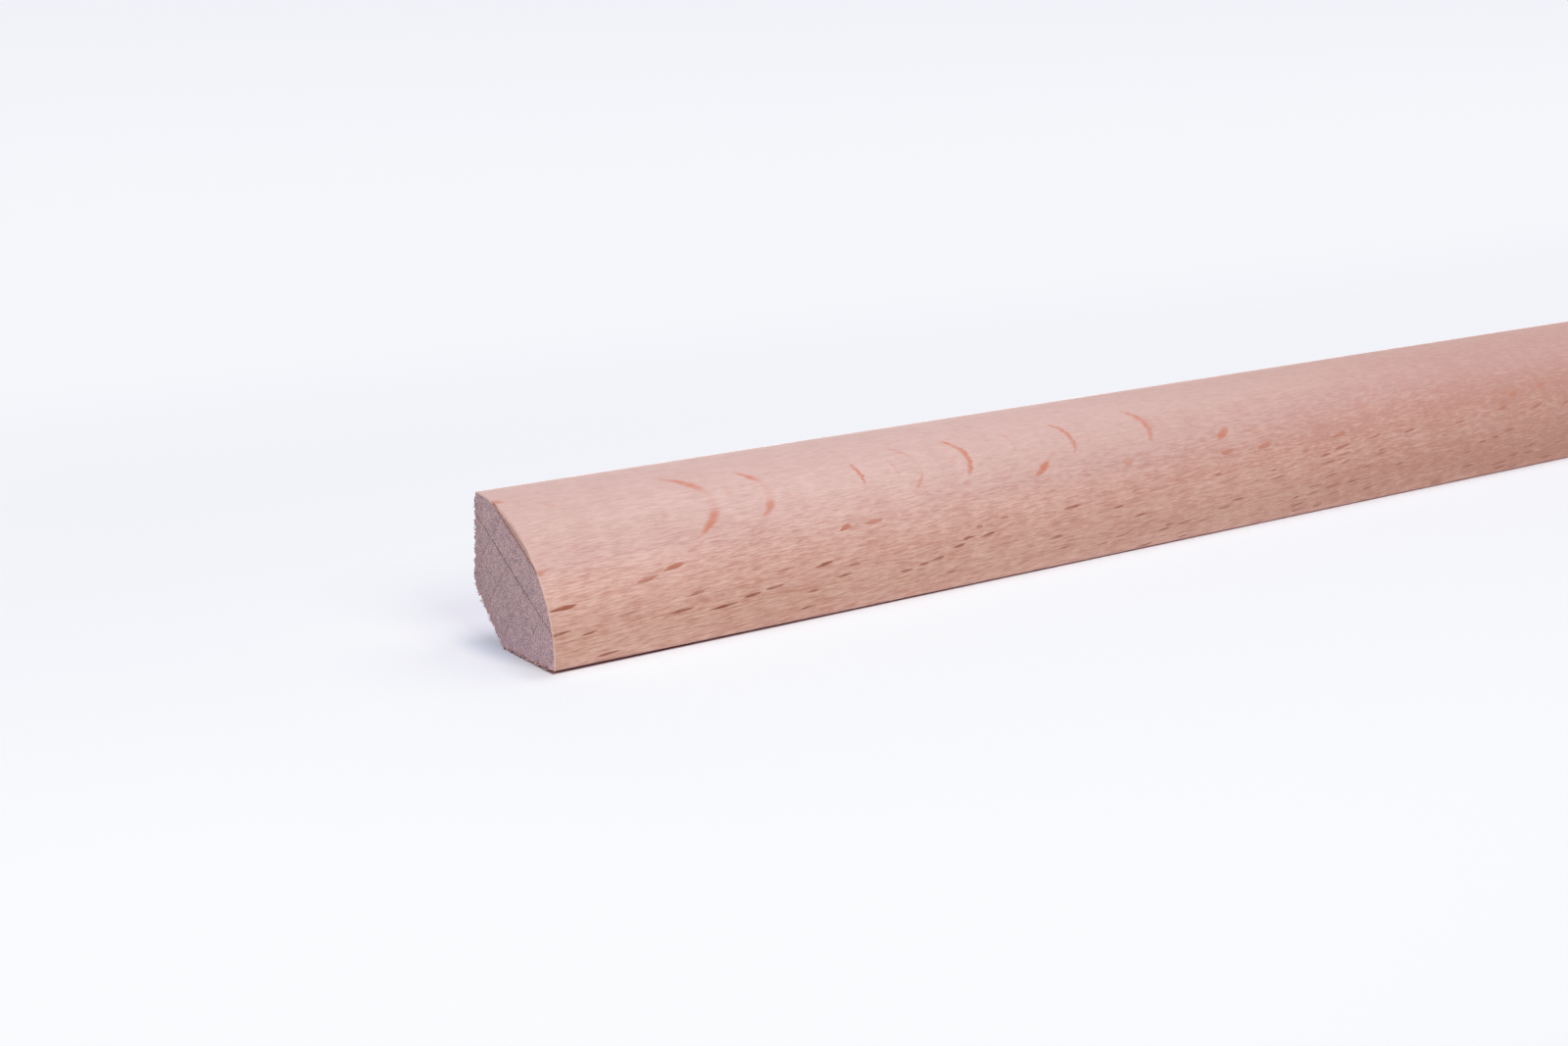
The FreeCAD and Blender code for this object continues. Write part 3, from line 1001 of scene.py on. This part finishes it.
def paper_material(name, near_colour, far_colour):
    """White paper. Away from the stick it is a plain white, a little brighter near the stick and fading
    further off, a painted fall of light. Beside the stick, part of its white is its own plain colour and the
    rest is the light it catches, so that it keeps the shadow. Close to the stick it is all light that it
    catches, with painted blue shade towards the relief, and under the front edge it has a painted dark shade,
    so that the line of contact shows. The plain part is the cooler one, which makes the shadow blue."""
    material, tree, _ = new_material(name)
    tree.nodes.clear()
    x, y, _ = parts_of(tree, add(tree, "ShaderNodeTexCoord", output="Object"))
    beyond_end = x.sum("ABSOLUTE") + LOW.x
    beside = y.sum("ABSOLUTE") + LOW.y
    outside = vector_of(tree, beyond_end.sum("MAXIMUM", 0.0), beside.sum("MAXIMUM", 0.0), 0.0)
    away = size_of(tree, outside)
    relief_foot = HIGH.y - RELIEF_LEG
    off_the_foot = (y * -1.0 + LOW.y).sum("MAXIMUM", (y - relief_foot) * 0.25).sum("MAXIMUM", 0.0)
    off_the_end = (beyond_end * 0.5).sum("MAXIMUM", 0.0)
    open_paper = size_of(tree, vector_of(tree, off_the_foot, off_the_end, 0.0)).ramp(0.0, 2 * MM)
    plain_paper = away.ramp(0.04, 0.13)

    light = to_linear(near_colour)
    cool_part = [part * share for part, share in zip(light, PLAIN_SHARE)]
    other_part = [(part - plain) / LIGHT_ON_PAPER for part, plain in zip(light, cool_part)]
    # Painted shade: close to the stick, the paper's colour turns blue towards the relief
    close_colour = mixed(tree, y.ramp(-6 * MM, relief_foot), near_colour, PAINTED_BLUE_SHADE)
    catches = mixed(tree, open_paper, close_colour, to_screen(other_part))
    # Painted shade: the paper under the stick's footprint, seen through the gap at the toe, is given a dark
    # colour
    under = y.ramp(LOW.y, LOW.y + 0.3 * MM) * y.ramp(relief_foot, 0.0) * beyond_end.ramp(0.0, -0.3 * MM)
    catches = mixed(tree, under, catches, PAINTED_SHADE_UNDER_STICK)
    catches = mixed(tree, plain_paper, catches, (0.0, 0.0, 0.0))
    lit = add(tree, "ShaderNodeBsdfDiffuse", {"Color": catches})

    # Painted light: the plain white is a little brighter near the stick and fades to the far paper's white
    # further off
    plain_white = mixed(tree, away.ramp(0.15, 0.80), near_colour, far_colour)
    colour = mixed(tree, plain_paper, to_screen(cool_part), plain_white)
    strength = seen_directly(tree) * open_paper
    plain = add(tree, "ShaderNodeEmission", {"Color": colour, "Strength": strength})
    both = add(tree, "ShaderNodeAddShader", {0: lit, 1: plain})
    plug(tree, tree.nodes.new("ShaderNodeOutputMaterial"), {"Surface": both})
    return material


def paper_floor(material):
    """A flat sheet that reaches to the horizon."""
    reach = 20.0
    vertices = [(x, y, 0.0) for x, y in ((-reach, -reach), (reach, -reach), (reach, reach), (-reach, reach))]
    mesh = bpy.data.meshes.new("paper_floor")
    mesh.from_pydata(vertices, [], [(0, 1, 2, 3)])
    mesh.materials.append(material)
    return in_the_scene("paper_floor", mesh)


def studio_world(sky_level, backdrop):
    """Dim light from all round, in front of a backdrop that is as white as the far paper."""
    world = bpy.data.worlds.new("studio")
    world.use_nodes = True
    tree = world.node_tree
    background = next(node for node in tree.nodes if node.type == "BACKGROUND")
    sky = [sky_level * part for part in to_linear(SKY_TINT)]
    colour = mixed(tree, seen_directly(tree), to_screen(sky), backdrop)
    plug(tree, background, {"Color": colour, "Strength": 1.0})
    return world


def add_softbox(name, target, way, distance, length, height, shine, level):
    """A lamp that lights what it is aimed at to a level, where 1 shows a colour as written."""
    light = bpy.data.lights.new(name, "AREA")
    light.shape = "RECTANGLE"
    light.size = length
    light.size_y = height
    light.spread = math.radians(shine)
    widest = light.spread / 2
    light.energy = level * (math.pi * distance) ** 2 * (1.0 - widest / math.tan(widest))
    lamp = in_the_scene(name, light)
    way = Vector(way).normalized()
    lamp.location = Vector(target) + way * distance
    lamp.rotation_euler = (-way).to_track_quat("-Z", "Y").to_euler()
    lamp.visible_camera = False


class MOULDING_OT_stage(bpy.types.Operator):
    """Sets the paper, the light and the camera"""

    bl_idname = "moulding.stage"
    bl_label = "Set the stage"

    def execute(self, context):
        scene, settings = context.scene, context.scene.moulding_stage
        paper = paper_floor(paper_material("white_paper", settings.paper, settings.far_paper))
        scene.world = studio_world(settings.sky_level, settings.far_paper)

        for name, (from_end, *shape, level) in SOFTBOXES.items():
            target = (LOW.x + from_end, 0.0, FACE_RADIUS / 2)
            add_softbox(name, target, *shape, level * settings.lamp_level)

        camera = bpy.data.cameras.new("camera")
        camera.lens = settings.lens
        camera.sensor_width = 36.0
        camera.clip_start = 0.01
        viewer = in_the_scene("camera", camera)
        turn = camera_turn(settings.camera_pan, settings.camera_pitch, settings.camera_roll)
        viewer.matrix_world = Matrix.Translation(settings.camera_place) @ turn.to_4x4()
        scene.camera = viewer
        scene.view_settings.view_transform = "Standard"
        return {"FINISHED"}


class MOULDING_PT_panel(bpy.types.Panel):
    """Lists the steps that make the moulding, with their sizes and colours"""

    bl_idname = "MOULDING_PT_panel"
    bl_label = "Quarter round moulding"
    bl_space_type = "VIEW_3D"
    bl_region_type = "UI"
    bl_category = "Moulding"

    def draw(self, context):
        layout = self.layout
        for operator in OPERATORS:
            layout.operator(operator.bl_idname)
        for settings in SETTINGS:
            box = layout.box()
            group = getattr(context.scene, settings)
            for name in group.__annotations__:
                box.prop(group, name)


OPERATORS = (MOULDING_OT_stick, MOULDING_OT_torn_fibres, MOULDING_OT_stage)
SETTINGS = {
    "moulding_sizes": MouldingSizes,
    "beech_colours": BeechColours,
    "moulding_stage": StageSettings,
}


def register():
    for settings in SETTINGS.values():
        bpy.utils.register_class(settings)
    for operator in OPERATORS:
        bpy.utils.register_class(operator)
    bpy.utils.register_class(MOULDING_PT_panel)
    for name, settings in SETTINGS.items():
        setattr(bpy.types.Scene, name, PointerProperty(type=settings))


def unregister():
    for name in SETTINGS:
        delattr(bpy.types.Scene, name)
    bpy.utils.unregister_class(MOULDING_PT_panel)
    for operator in reversed(OPERATORS):
        bpy.utils.unregister_class(operator)
    for settings in reversed(SETTINGS.values()):
        bpy.utils.unregister_class(settings)


def main():
    register()
    bpy.ops.moulding.stick()
    bpy.ops.moulding.torn_fibres()
    bpy.ops.moulding.stage()


if __name__ == "__main__":
    main()
